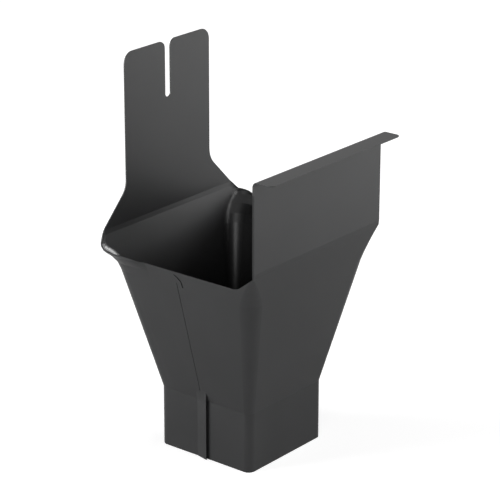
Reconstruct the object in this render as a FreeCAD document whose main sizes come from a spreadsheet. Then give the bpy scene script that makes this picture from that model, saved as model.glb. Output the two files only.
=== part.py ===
import FreeCAD, Part
import Sketcher
import math
import os

# Gutter outlet: one pressed and folded piece of coated sheet steel. It hangs under a gutter of
# box section, which lies on its side rims, between its panel and its tongue. A square spout at
# the bottom goes into the downpipe, and a funnel widens from it to the gutter's width. The
# panel's flange hooks on the gutter's front edge, and the slotted tongue at the back is bent
# over the gutter's back edge.
#
# The frame: X runs along the gutter, -Y is the front panel's side, +Y the tongue's side, and Z
# is up. The origin is the centre of the spout's open end. Sizes are in millimetres.

SIZES = {
    # The sheet
    "thickness": 0.7,
    # The spout, measured outside
    "spout_width": 73.5,
    "spout_length": 40.0,
    "spout_corner": 4.8,
    # The gutter that the outlet holds, measured outside from front to back
    "gutter_depth": 120.0,
    # The panel and the mouth, along the gutter
    "mouth_width": 126.6,
    # The crease where the leaning front and back walls turn upright, and the bend above it
    "crease_height": 144.0,
    "crease_bend": 3.0,
    "crease_inset": 0.35,
    # The shoulder, below the side rims, where the corner bends are roundest
    "shoulder_drop": 11.0,
    "shoulder_corner": 9.8,
    "panel_edge": 1.2,
    # The side rims, below the crease, and how their front ends rise to the panel
    "rim_drop": 11.0,
    "rim_blend": 12.0,
    "rim_rise": 14.5,
    # The back ends of the rims rise to the ears, which flare out beside the back corners
    "ear_rise": 25.0,
    "ear_drop": 2.7,
    "ear_edge": 2.5,
    "ear_width": 133.6,
    "ear_flare": 9.2,
    "ear_length": 30.0,
    "ear_depth": 13.0,
    "ear_bend": 12.0,
    # The flange along the top of the panel
    "panel_height": 205.7,
    "flange_reach": 14.4,
    "flange_bend": 3.0,
    "flange_corner": 3.0,
    # The tongue, its sloping shoulders and its slot
    "tongue_height": 256.5,
    "tongue_width": 80.4,
    "tongue_corner": 7.5,
    "foot_width": 126.0,
    "foot_rise": 1.7,
    "foot_slope": 23.3,
    "foot_blend": 15.0,
    "slot_width": 4.8,
    "slot_depth": 37.0,
    "slot_mouth": 5.0,
    # The lap seam down the middle of the spout's left side
    "lap_start": 6.0,
    "lap_edge": 2.5,
    "lap_lift": 1.8,
    "lap_run_out": 9.0,
    "lap_fade": 0.02,
    # The fine line up the funnel, and the hook pressed in above it, down from the rim
    "seam_depth": 0.4,
    "seam_line": 0.35,
    "seam_low": 2.0,
    "seam_high": 3.2,
    "seam_start": 4.5,
    "seam_end": 8.0,
    "hook_back": 4.9,
    "hook_front": 1.5,
    "hook_top": 2.0,
    "hook_turn": 5.5,
    "hook_end": 10.5,
    "hook_width": 1.4,
    "hook_bend": 3.0,
    # How far a cutting outline reaches past the sheet
    "margin": 5.0,
}

# The ears' curl as shares of their flare, from hardly any at the shoulder to the lip's whole
SLIGHT = 0.016
CURL = {
    "spout_top": SLIGHT,
    "shoulder": SLIGHT,
    "under_rim": 0.11,
    "rim": 0.48,
    "low_curl": 0.78,
    "high_curl": 0.96,
    "lip": 1.0,
    "over_lip": 0.93,
    "crease": 0.74,
    "bend_top": 0.66,
}
# How the front corners' radius runs out: slowly below the rims, and then faster
RUN_OUT = 1.5
# The slot's end is all but a half circle
ROUND_END = 0.48

document = FreeCAD.newDocument("gutter_outlet")
sheet = document.addObject("Spreadsheet::Sheet", "sizes")
for row, (alias, value) in enumerate(SIZES.items(), start=1):
    sheet.set(f"A{row}", alias)
    sheet.set(f"B{row}", str(value))
    sheet.setAlias(f"B{row}", alias)
body = document.addObject("PartDesign::Body", "gutter_outlet")
document.recompute()

# Places that several features share, as expressions on the sheet
HALF_SPOUT = "sizes.spout_width / 2"
HALF_MOUTH = "sizes.mouth_width / 2"
HALF_DEPTH = "(sizes.gutter_depth / 2 + sizes.thickness)"
BEND_TOP = "(sizes.crease_height + sizes.crease_bend)"
RIM = "(sizes.crease_height - sizes.rim_drop)"
SHOULDER = f"({RIM} - sizes.shoulder_drop)"
ABOVE_ALL = "(sizes.tongue_height + sizes.margin)"
HALF_CREASE = f"({HALF_DEPTH} - sizes.crease_inset)"
LEAN = f"(({HALF_CREASE} - {HALF_SPOUT}) / (sizes.crease_height - sizes.spout_length))"
WALL_INSET = f"(sizes.thickness * sqrt(1 + {LEAN} ^ 2))"


def leaning(spout, mouth, height):
    """How far a leaning wall stands from the centre at a height."""
    share = f"({height} - sizes.spout_length) / (sizes.crease_height - sizes.spout_length)"
    return f"({spout} + ({mouth} - {spout}) * {share})"


def front_corner(height):
    """The front corners' radius, which runs out between the shoulder and the crease."""
    share = f"(({height} - {SHOULDER}) / (sizes.crease_height - {SHOULDER}))"
    lost = "(sizes.shoulder_corner - sizes.panel_edge)"
    return f"(sizes.shoulder_corner - {lost} * {share} ^ {RUN_OUT})"


def new_sketch(name, plane, height=None):
    """A sketch on one of the body's own planes, lifted by an expression where one is given."""
    sketch = body.newObject("Sketcher::SketchObject", name)
    origin_plane = [f for f in body.Origin.OriginFeatures if f.Role == plane][0]
    sketch.AttachmentSupport = [(origin_plane, "")]
    sketch.MapMode = "FlatFace"
    if height:
        sketch.setExpression("AttachmentOffset.Base.z", height)
    return sketch


def set_place(sketch, point, axis, expression):
    """Dimensions one coordinate of a construction point from the sketch's origin."""
    value = float(body.evalExpression(expression))
    number = sketch.addConstraint(Sketcher.Constraint(axis, -1, 1, point, 1, value))
    sketch.setExpression(f"Constraints[{number}]", expression)


def outline(sketch, corners):
    """Draws a closed outline through corners, each (x, y, radius) as expressions.

    A construction point marks each corner, the sides pass through the points, and an arc
    rounds each corner that has a radius."""
    count = len(corners)
    places = [FreeCAD.Vector(*(float(body.evalExpression(c[k])) for k in (0, 1)), 0) for c in corners]
    radii = [float(body.evalExpression(c[2])) if c[2] else 0.0 for c in corners]
    starts, ends, arcs = [], [], []
    for k, (corner, radius) in enumerate(zip(places, radii)):
        before = (places[k - 1] - corner).normalize()
        after = (places[(k + 1) % count] - corner).normalize()
        half_angle = before.getAngle(after) / 2
        ends.append(corner + before * (radius / math.tan(half_angle)))
        starts.append(corner + after * (radius / math.tan(half_angle)))
        turns_left = before.cross(after).z < 0
        centre = corner + (before + after).normalize() * (radius / math.sin(half_angle))
        first, last = (ends[k] - centre, starts[k] - centre)
        if not turns_left:
            first, last = last, first
        start_angle = math.atan2(first.y, first.x)
        sweep = (math.atan2(last.y, last.x) - start_angle) % (2 * math.pi)
        arcs.append((centre, start_angle, start_angle + sweep, turns_left))
    points = [sketch.addGeometry(Part.Point(place), True) for place in places]
    sides = [
        sketch.addGeometry(Part.LineSegment(starts[k], ends[(k + 1) % count]), False)
        for k in range(count)
    ]
    for k, corner in enumerate(corners):
        set_place(sketch, points[k], "DistanceX", corner[0])
        set_place(sketch, points[k], "DistanceY", corner[1])
        if not corner[2]:
            sketch.addConstraint(Sketcher.Constraint("Coincident", sides[k - 1], 2, points[k], 1))
            sketch.addConstraint(Sketcher.Constraint("Coincident", sides[k], 1, points[k], 1))
            continue
        centre, start_angle, end_angle, turns_left = arcs[k]
        circle = Part.Circle(centre, FreeCAD.Vector(0, 0, 1), radii[k])
        arc = sketch.addGeometry(Part.ArcOfCircle(circle, start_angle, end_angle), False)
        first, last = (1, 2) if turns_left else (2, 1)
        sketch.addConstraint(Sketcher.Constraint("Tangent", sides[k - 1], 2, arc, first))
        sketch.addConstraint(Sketcher.Constraint("Tangent", sides[k], 1, arc, last))
        number = sketch.addConstraint(Sketcher.Constraint("Radius", arc, radii[k]))
        sketch.setExpression(f"Constraints[{number}]", corner[2])
        sketch.addConstraint(Sketcher.Constraint("PointOnObject", points[k], 1, sides[k - 1]))
        sketch.addConstraint(Sketcher.Constraint("PointOnObject", points[k], 1, sides[k]))
    return sketch


def cross_section(name, height, reach, depth, front, back, curl, inset="0"):
    """A level outline of the tube, or the same outline set in from it.

    It has its reach to each side, its depth to the front and back, the radii of its corners, and
    the share of the ears' flare by which its sides bend out towards the back corners."""
    side = f"({reach} - {inset})"
    ear = f"({reach} + {curl} * sizes.ear_flare - {inset})"
    end = f"({depth} - {inset})"
    right = [
        (side, f"(-{end})", f"({front} - {inset})"),
        (side, f"({depth} - sizes.ear_length)", f"(sizes.ear_bend + {inset})"),
        (ear, f"({depth} - sizes.ear_depth)", f"(sizes.ear_bend - {inset})"),
        (ear, end, f"({back} - {inset})"),
    ]
    left = [(f"(-{x})", y, radius) for x, y, radius in reversed(right)]
    return outline(new_sketch(name, "XY_Plane", height), right + left)


def pad(name, sketch, length, both_ways=False):
    """Extrudes a sketch along its own normal, or half of the length to each side."""
    feature = body.newObject("PartDesign::Pad", name)
    feature.Profile = sketch
    feature.setExpression("Length", length)
    feature.Midplane = both_ways
    document.recompute()
    return feature


def cut(name, sketch, reverse=False, both_ways=False):
    """Cuts a sketch out of everything on one side of its plane, or on both sides."""
    before = body.Shape.Volume
    feature = body.newObject("PartDesign::Pocket", name)
    feature.Profile = sketch
    feature.Type = "ThroughAll"
    feature.Reversed = reverse
    feature.Midplane = both_ways
    document.recompute()
    if body.Shape.Volume > before - 1:
        raise RuntimeError(f"{name} cuts nothing away")
    return feature


def loft(name, kind, sections):
    """Adds or cuts straight walls between level sections, from the lowest to the highest."""
    feature = body.newObject("PartDesign::" + kind, name)
    feature.Profile = sections[0]
    feature.Sections = sections[1:]
    feature.Ruled = True
    document.recompute()
    return feature


def above_rim(share):
    """A height between the side rims and the crease."""
    return f"({RIM} + {share} * sizes.rim_drop)"


def tube_sections(side):
    """The level outlines that the sheet runs through, from the spout to above the crease."""
    levels = [
        ("spout_top", "sizes.spout_length"),
        ("shoulder", SHOULDER),
        ("under_rim", f"({SHOULDER} + sizes.shoulder_drop / 2)"),
        ("rim", RIM),
        ("low_curl", above_rim(0.23)),
        ("high_curl", above_rim(0.41)),
        ("lip", above_rim(0.59)),
        ("over_lip", above_rim(0.77)),
        ("crease", "sizes.crease_height"),
        ("bend_top", BEND_TOP),
    ]
    sketches = []
    for name, height in levels:
        upright = name == "bend_top"
        reach = HALF_MOUTH if upright else leaning(HALF_SPOUT, HALF_MOUTH, height)
        depth = HALF_DEPTH if upright else leaning(HALF_SPOUT, HALF_CREASE, height)
        back = "sizes.spout_corner" if name == "spout_top" else "sizes.shoulder_corner"
        front = "sizes.panel_edge" if upright else front_corner(height)
        if name in ("spout_top", "shoulder"):
            front = back
        inset = "0"
        if side == "inner":
            inset = "sizes.thickness" if upright or name == "spout_top" else WALL_INSET
        sketches.append(cross_section(
            f"{side}_{name}", height, reach, depth, front, back, CURL[name], inset,
        ))
    return sketches


# The outside, filled: spout, funnel, mouth and a collar as high as the tongue
outer = tube_sections("outer")
inner = tube_sections("inner")
SPOUT = (HALF_SPOUT, HALF_SPOUT, "sizes.spout_corner", "sizes.spout_corner", SLIGHT)
COLLAR_HEIGHT = f"({ABOVE_ALL} - {BEND_TOP})"
pad("spout", cross_section("spout_outline", None, *SPOUT), "sizes.spout_length")
loft("funnel", "AdditiveLoft", outer)
pad("collar", outer[-1], COLLAR_HEIGHT)

# The inside, one sheet thickness in from the outside
cut("bore", cross_section("bore_outline", "sizes.spout_length", *SPOUT, "sizes.thickness"))
loft("funnel_inside", "SubtractiveLoft", inner)
cut("collar_inside", inner[-1], reverse=True)

# The sides are open above the rims, from the panel's inner face to the tongue's ears
panel_face = "(-sizes.gutter_depth / 2)"
ear_place = "(sizes.gutter_depth / 2 - sizes.ear_edge)"
ear_end = "(sizes.crease_height - sizes.ear_drop)"
cut("side_openings", outline(new_sketch("side_outline", "YZ_Plane"), [
    (panel_face, ABOVE_ALL, None),
    (panel_face, "sizes.crease_height", None),
    (f"({panel_face} + sizes.rim_rise)", RIM, "sizes.rim_blend"),
    (f"({ear_place} - sizes.ear_rise)", RIM, "sizes.rim_blend"),
    (ear_place, ear_end, None),
    (ear_place, ABOVE_ALL, None),
]), both_ways=True)

# The tongue stands above its foot, with a slot down from its top
half_tongue = "(sizes.tongue_width / 2)"
half_slot = "(sizes.slot_width / 2)"
slot_end = "(sizes.tongue_height - sizes.slot_depth)"
beside = "(sizes.ear_width / 2 + 2 * sizes.margin)"
foot = "(sizes.crease_height + sizes.foot_rise)"
right = [
    (half_slot, slot_end, f"({ROUND_END} * sizes.slot_width)"),
    (half_slot, "sizes.tongue_height", "sizes.slot_mouth"),
    (half_tongue, "sizes.tongue_height", "sizes.tongue_corner"),
    (half_tongue, f"({foot} + sizes.foot_slope)", "sizes.foot_blend"),
    ("(sizes.foot_width / 2)", foot, None),
    ("(sizes.ear_width / 2)", ear_end, None),
    (beside, ear_end, None),
    (beside, ABOVE_ALL, None),
]
left = [(f"(-{x})", z, radius) for x, z, radius in reversed(right)]
cut("tongue", outline(new_sketch("tongue_outline", "XZ_Plane"), left + right))

# The panel ends where its flange begins, and the flange bends away from the gutter
panel_top = "(sizes.panel_height - sizes.thickness - sizes.flange_bend)"
cut("panel_top", outline(new_sketch("panel_top_outline", "XZ_Plane"), [
    (f"(-{beside})", panel_top, None),
    (beside, panel_top, None),
    (beside, ABOVE_ALL, None),
    (f"(-{beside})", ABOVE_ALL, None),
]), reverse=True)
under_flange = "(sizes.panel_height - sizes.thickness)"
flange_edge = f"(-{HALF_DEPTH} - sizes.flange_reach)"
pad("flange", outline(new_sketch("flange_outline", "YZ_Plane"), [
    (f"(-{HALF_DEPTH})", f"({panel_top} - sizes.margin)", None),
    (panel_face, f"({panel_top} - sizes.margin)", None),
    (panel_face, "sizes.panel_height", "(sizes.flange_bend + sizes.thickness)"),
    (flange_edge, "sizes.panel_height", None),
    (flange_edge, under_flange, None),
    (f"(-{HALF_DEPTH})", under_flange, "sizes.flange_bend"),
]), "(sizes.mouth_width)", both_ways=True)


# The flange's free corners are rounded
half_flange = "(sizes.mouth_width / 2)"
behind = f"(-{HALF_DEPTH} - sizes.flange_bend)"
past = f"({flange_edge} - sizes.margin)"
for name, sign in (("flange_left", "-"), ("flange_right", "")):
    edge = f"({sign}{half_flange})"
    inner_end = f"({sign}({half_flange} - 2 * sizes.flange_corner))"
    outer_end = f"({sign}({half_flange} + sizes.margin))"
    cut(name, outline(new_sketch(name + "_outline", "XY_Plane", ABOVE_ALL), [
        (edge, behind, None),
        (edge, flange_edge, "sizes.flange_corner"),
        (inner_end, flange_edge, None),
        (inner_end, past, None),
        (outer_end, past, None),
        (outer_end, behind, None),
    ]))

# The lap seam: down the spout the back half's edge stands off over the front half
wall = f"(-{HALF_SPOUT})"


def lap_section(name, height, wall, lift):
    """The lap's flap, from where it leaves the wall to its free edge."""
    inside = "sizes.thickness / 2"
    return outline(new_sketch(name, "XY_Plane", height), [
        (f"({wall} + {inside})", "sizes.lap_start", None),
        (f"({wall} - sizes.lap_fade / 2)", "sizes.lap_start", None),
        (f"({wall} - {lift})", "(-sizes.lap_edge)", None),
        (f"({wall} - {lift} + sizes.thickness)", "(-sizes.lap_edge)", None),
        (f"({wall} + {inside})", "(sizes.lap_start / 3)", None),
    ])


lap_top = "(sizes.spout_length - sizes.lap_edge)"
run_out = f"({lap_top} + sizes.lap_run_out)"
lap_low = lap_section("lap_low", None, wall, "sizes.lap_lift")
lap_high = lap_section("lap_high", lap_top, wall, "sizes.lap_lift")
funnel_wall = f"(-{leaning(HALF_SPOUT, HALF_MOUTH, run_out)})"
lap_end = lap_section("lap_end", run_out, funnel_wall, "sizes.lap_fade")
document.recompute()
loft("lap", "AdditiveLoft", [lap_low, lap_high])
loft("lap_run_out", "AdditiveLoft", [lap_high, lap_end])

# Up the funnel the seam is pressed flat, and shows as a fine line with a hooked end
side_lean = f"atan(({HALF_MOUTH} - {HALF_SPOUT}) / (sizes.crease_height - sizes.spout_length))"
rim_along = f"(({RIM} - sizes.spout_length) / cos({side_lean}))"


def wall_sketch(name):
    """A sketch that lies on the funnel's leaning left wall, from the spout's top up."""
    sketch = new_sketch(name, "YZ_Plane", wall)
    tilt = FreeCAD.Rotation(FreeCAD.Vector(1, 0, 0), 0)
    sketch.AttachmentOffset = FreeCAD.Placement(FreeCAD.Vector(0, 0, 0), tilt)
    sketch.setExpression("AttachmentOffset.Base.y", "sizes.spout_length")
    sketch.setExpression("AttachmentOffset.Rotation.Angle", f"-{side_lean}")
    document.recompute()
    return sketch


def groove(name, sketch):
    """Presses a sketch into the wall that it lies on."""
    before = body.Shape.Volume
    document.recompute()
    feature = body.newObject("PartDesign::Pocket", name)
    feature.Profile = sketch
    feature.setExpression("Length", "sizes.seam_depth")
    feature.Reversed = True
    document.recompute()
    if body.Shape.Volume >= before:
        raise RuntimeError(f"{name} presses nothing in")


line_end = f"({rim_along} - sizes.seam_end)"
groove("seam_line", outline(wall_sketch("line_outline"), [
    ("sizes.seam_low", "sizes.seam_start", None),
    ("(sizes.seam_low + sizes.seam_line)", "sizes.seam_start", None),
    ("(sizes.seam_high + sizes.seam_line)", line_end, None),
    ("sizes.seam_high", line_end, None),
]))
hook_start = f"({rim_along} - sizes.hook_top)"
hook_turn = f"({rim_along} - sizes.hook_turn)"
hook_end = f"({rim_along} - sizes.hook_end)"
groove("seam_hook", outline(wall_sketch("hook_outline"), [
    ("sizes.hook_back", hook_start, None),
    ("(sizes.hook_back - sizes.hook_width)", hook_start, None),
    ("(-sizes.hook_front)", hook_turn, "sizes.hook_bend"),
    ("(-sizes.hook_front)", hook_end, None),
    ("(sizes.hook_width / 2 - sizes.hook_front)", hook_end, None),
    (
        "(sizes.hook_width - sizes.hook_front)",
        f"({hook_turn} - sizes.hook_width / 2)",
        "(sizes.hook_bend - sizes.hook_width)",
    ),
]))

# Every feature has to be sound before the part is written
failed = [item.Name for item in document.Objects if {"Invalid", "Error"} & set(item.State)]
if failed or body.Shape.isNull() or not body.Shape.isValid():
    raise RuntimeError(f"the part is not sound: {failed}")
os.makedirs("parts", exist_ok=True)
body.Shape.exportStep("parts/gutter_outlet.step")
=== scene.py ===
# %% [markdown]
# A gutter outlet: the folded sheet-metal funnel that takes rainwater from a box gutter into a
# square downpipe. The real one is a single sheet, cut, pressed and folded, with a semi-gloss
# dark coating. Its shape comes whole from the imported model, so this file is about the finish
# that makes it read as coated steel, and about the light and the camera that show it.

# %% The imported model
import bpy
import math
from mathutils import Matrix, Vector

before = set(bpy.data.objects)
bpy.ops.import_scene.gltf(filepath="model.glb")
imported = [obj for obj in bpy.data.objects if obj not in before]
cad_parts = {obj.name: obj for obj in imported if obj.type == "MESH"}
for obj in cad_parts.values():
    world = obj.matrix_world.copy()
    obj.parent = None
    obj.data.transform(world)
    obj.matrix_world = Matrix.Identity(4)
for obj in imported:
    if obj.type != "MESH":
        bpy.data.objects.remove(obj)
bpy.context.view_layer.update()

# %% [markdown]
# The camera stands at the front left and looks a little down, as the photograph does. The lens
# is long, so the outlet's upright lines stay nearly parallel.

# %% Camera
CAMERA_AZIMUTH = math.radians(-50.59)
CAMERA_ELEVATION = math.radians(20.49)
CAMERA_DISTANCE = 1.440
CAMERA_TARGET = Vector((0.0, 0.0, 0.1336))
FOCAL_PIXELS = 2296
FRAME_PIXELS = 500
CENTRE_PIXEL = (241.65, 245.48)
backward = Vector((
    math.sin(CAMERA_AZIMUTH) * math.cos(CAMERA_ELEVATION),
    -math.cos(CAMERA_AZIMUTH) * math.cos(CAMERA_ELEVATION),
    math.sin(CAMERA_ELEVATION),
))
camera_data = bpy.data.cameras.new("camera")
camera = bpy.data.objects.new("camera", camera_data)
bpy.context.scene.collection.objects.link(camera)
camera.location = CAMERA_TARGET + backward * CAMERA_DISTANCE
camera.rotation_euler = backward.to_track_quat("Z", "Y").to_euler()
camera_data.sensor_width = 36.0
camera_data.lens = FOCAL_PIXELS / FRAME_PIXELS * camera_data.sensor_width
camera_data.shift_x = 0.5 - CENTRE_PIXEL[0] / FRAME_PIXELS
camera_data.shift_y = CENTRE_PIXEL[1] / FRAME_PIXELS - 0.5
bpy.context.scene.camera = camera
bpy.context.scene.view_settings.view_transform = "Standard"
print("camera at", camera.location, "lens", round(camera_data.lens, 1))

# %% [markdown]
# Materials are built from nodes. This small helper adds a node, sets its plain values and
# joins its inputs, so each finish below reads as a list of what goes into what.

# %% Node helper
def node(tree, kind, values=None, links=None, **settings):
    """Adds a shader node, with plain values and links for its named inputs."""
    made = tree.nodes.new("ShaderNode" + kind)
    for name, value in settings.items():
        setattr(made, name, value)
    for name, value in (values or {}).items():
        made.inputs[name].default_value = value
    for name, source in (links or {}).items():
        tree.links.new(source, made.inputs[name])
    return made


def new_material(name):
    """An empty material, with its node tree and its output."""
    material = bpy.data.materials.new(name)
    material.use_nodes = True
    tree = material.node_tree
    tree.nodes.clear()
    return material, tree, tree.nodes.new("ShaderNodeOutputMaterial")


print("helpers ready")

# %% [markdown]
# The photograph has a plain white ground. The pale floor shines a little towards the camera
# alone, which makes it white without more light on the outlet, and still shows the soft shadow
# by the spout. Further from the outlet less light reaches the floor, so it shines more there.
# The semi-gloss coating mirrors that ground too, beyond the floor close to the outlet.

# %% Floor
FLOOR_SIZE = 8.0
FLOOR_COLOUR = (0.80, 0.80, 0.80, 1.0)
NEAR_SHINE, FAR_SHINE = 0.62, 1.0
NEAR, FAR = 0.25, 2.2
MIRRORED_FROM, MIRRORED_TO, MIRRORED_SHINE = 0.3, 0.7, 0.4

stage_material, tree, output = new_material("pale_ground")
matt = node(tree, "BsdfDiffuse", {"Color": FLOOR_COLOUR})
spot = node(tree, "TexCoord")
away = node(tree, "VectorMath", None, {0: spot.outputs["Object"]}, operation="LENGTH")
rise = node(tree, "MapRange", {
    "From Min": NEAR, "From Max": FAR, "To Min": NEAR_SHINE, "To Max": FAR_SHINE,
}, {"Value": away.outputs["Value"]})
seen = node(tree, "LightPath")
seen_shine = node(tree, "Math", None, {
    0: rise.outputs["Result"], 1: seen.outputs["Is Camera Ray"],
}, operation="MULTIPLY")
mirrored_floor = node(tree, "MapRange", {
    "From Min": MIRRORED_FROM, "From Max": MIRRORED_TO, "To Max": MIRRORED_SHINE,
}, {"Value": away.outputs["Value"]})
strength = node(tree, "Math", None, {
    0: mirrored_floor.outputs["Result"],
    1: seen.outputs["Is Glossy Ray"],
    2: seen_shine.outputs[0],
}, operation="MULTIPLY_ADD")
shine = node(tree, "Emission", None, {"Strength": strength.outputs[0]})
both = node(tree, "AddShader", None, {0: matt.outputs[0], 1: shine.outputs[0]})
tree.links.new(both.outputs[0], output.inputs["Surface"])

bpy.ops.object.select_all(action="DESELECT")
bpy.ops.mesh.primitive_plane_add(size=FLOOR_SIZE, location=(0, 0, 0))
floor = bpy.context.object
floor.name = "floor"
floor.data.materials.append(stage_material)
print("floor", FLOOR_SIZE, "m wide")

# %% [markdown]
# The world is the backdrop. It is white to the camera, a little less so in the coating's
# reflections, and gives nearly no light of its own, so that the lamps shape the outlet.

# %% Backdrop
WORLD_LEVEL, MIRRORED_WORLD, WHITE = 0.02, 0.6, 1.0
world = bpy.data.worlds.new("studio")
bpy.context.scene.world = world
world.use_nodes = True
tree = world.node_tree
tree.nodes.clear()
seen = node(tree, "LightPath")
mirrored_world = node(tree, "MapRange", {"To Max": MIRRORED_WORLD}, {
    "Value": seen.outputs["Is Glossy Ray"],
})
brighter = node(tree, "Math", None, {
    0: seen.outputs["Is Camera Ray"], 1: mirrored_world.outputs["Result"],
}, operation="MAXIMUM")
level = node(tree, "MapRange", {"To Min": WORLD_LEVEL, "To Max": WHITE}, {
    "Value": brighter.outputs[0],
})
sky = node(tree, "Background", {"Color": (1, 1, 1, 1)}, {"Strength": level.outputs["Result"]})
node(tree, "OutputWorld", None, {"Surface": sky.outputs[0]})
print("backdrop: light", WORLD_LEVEL, "mirrored", MIRRORED_WORLD)

# %% [markdown]
# Soft boxes stand low around the outlet, because its walls lean outwards and mirror what is
# level with them or lower. The strongest two stand at the left back and the right front, and
# the first is large, so that the bends do not glare. Each is an area lamp that looks at the
# outlet's middle, so it is placed by its direction alone.

# %% Lamps
LAMP_DISTANCE = 1.6
LAMP_ELEVATION = math.radians(14)
LAMP_SIZE, LARGE_LAMP_SIZE = 0.7, 1.1


def soft_box(name, azimuth, power, size=LAMP_SIZE):
    """A square area lamp that looks at the outlet, azimuth 0 being the front panel's side."""
    turn = math.radians(azimuth)
    towards = Vector((
        math.sin(turn) * math.cos(LAMP_ELEVATION),
        -math.cos(turn) * math.cos(LAMP_ELEVATION),
        math.sin(LAMP_ELEVATION),
    ))
    data = bpy.data.lights.new(name, "AREA")
    data.shape = "SQUARE"
    data.size = size
    data.energy = power
    lamp = bpy.data.objects.new(name, data)
    lamp.location = CAMERA_TARGET + towards * LAMP_DISTANCE
    lamp.rotation_euler = towards.to_track_quat("Z", "Y").to_euler()
    bpy.context.scene.collection.objects.link(lamp)


soft_box("left_back", -135, 29.8, LARGE_LAMP_SIZE)
soft_box("right_front", 75, 16.5)
soft_box("front", 0, 6.6)
soft_box("left_front", -60, 4.4)
soft_box("front_right", 25, 3.8)
soft_box("right_middle", 60, 1.9)
print("lamps", [lamp.name for lamp in bpy.data.lights])

# %% [markdown]
# The coating is a polyester paint baked on galvanised steel: dark neutral grey, semi-gloss,
# with a faint orange-peel ripple that breaks up long reflections. The outlet's own solid has
# every form of the sheet, so it stays and only gets this finish.

# %% Colour of the coating
COATING = (0.0215, 0.0218, 0.0226)
TONE_SPREAD = 0.08
CLOUD_SCALE = 28.0
steel_material, tree, output = new_material("coated_steel")
place = node(tree, "TexCoord")
cloud = node(tree, "TexNoise", {"Scale": CLOUD_SCALE, "Detail": 4.0}, {
    "Vector": place.outputs["Object"],
})
tone = node(tree, "ValToRGB", None, {"Fac": cloud.outputs["Fac"]})
for stop, position, share in zip(
        tone.color_ramp.elements, (0.3, 0.7), (1 - TONE_SPREAD, 1 + TONE_SPREAD)):
    stop.position = position
    stop.color = (*(channel * share for channel in COATING), 1)
print("coating", COATING)

# %% [markdown]
# The gloss varies a little with the same clouds as the colour, and a very fine bump is the
# orange peel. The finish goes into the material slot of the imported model's own object.

# %% Gloss and ripple, and the finished coating
SMOOTHEST, ROUGHEST = 0.32, 0.38
PEEL_SCALE, PEEL_STRENGTH, PEEL_HEIGHT = 900.0, 0.05, 0.0003
gloss = node(tree, "MapRange", {"To Min": SMOOTHEST, "To Max": ROUGHEST}, {
    "Value": cloud.outputs["Fac"],
})
peel = node(tree, "TexNoise", {"Scale": PEEL_SCALE, "Detail": 2.0}, {
    "Vector": place.outputs["Object"],
})
ripple = node(tree, "Bump", {"Strength": PEEL_STRENGTH, "Distance": PEEL_HEIGHT}, {
    "Height": peel.outputs["Fac"],
})
paint = node(tree, "BsdfPrincipled", None, {
    "Base Color": tone.outputs["Color"],
    "Roughness": gloss.outputs["Result"],
    "Normal": ripple.outputs["Normal"],
})
tree.links.new(paint.outputs[0], output.inputs["Surface"])
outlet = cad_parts["gutter_outlet"]
outlet.data.materials.clear()
outlet.data.materials.append(steel_material)
print("finish on", outlet.name, [finish.name for finish in outlet.data.materials])
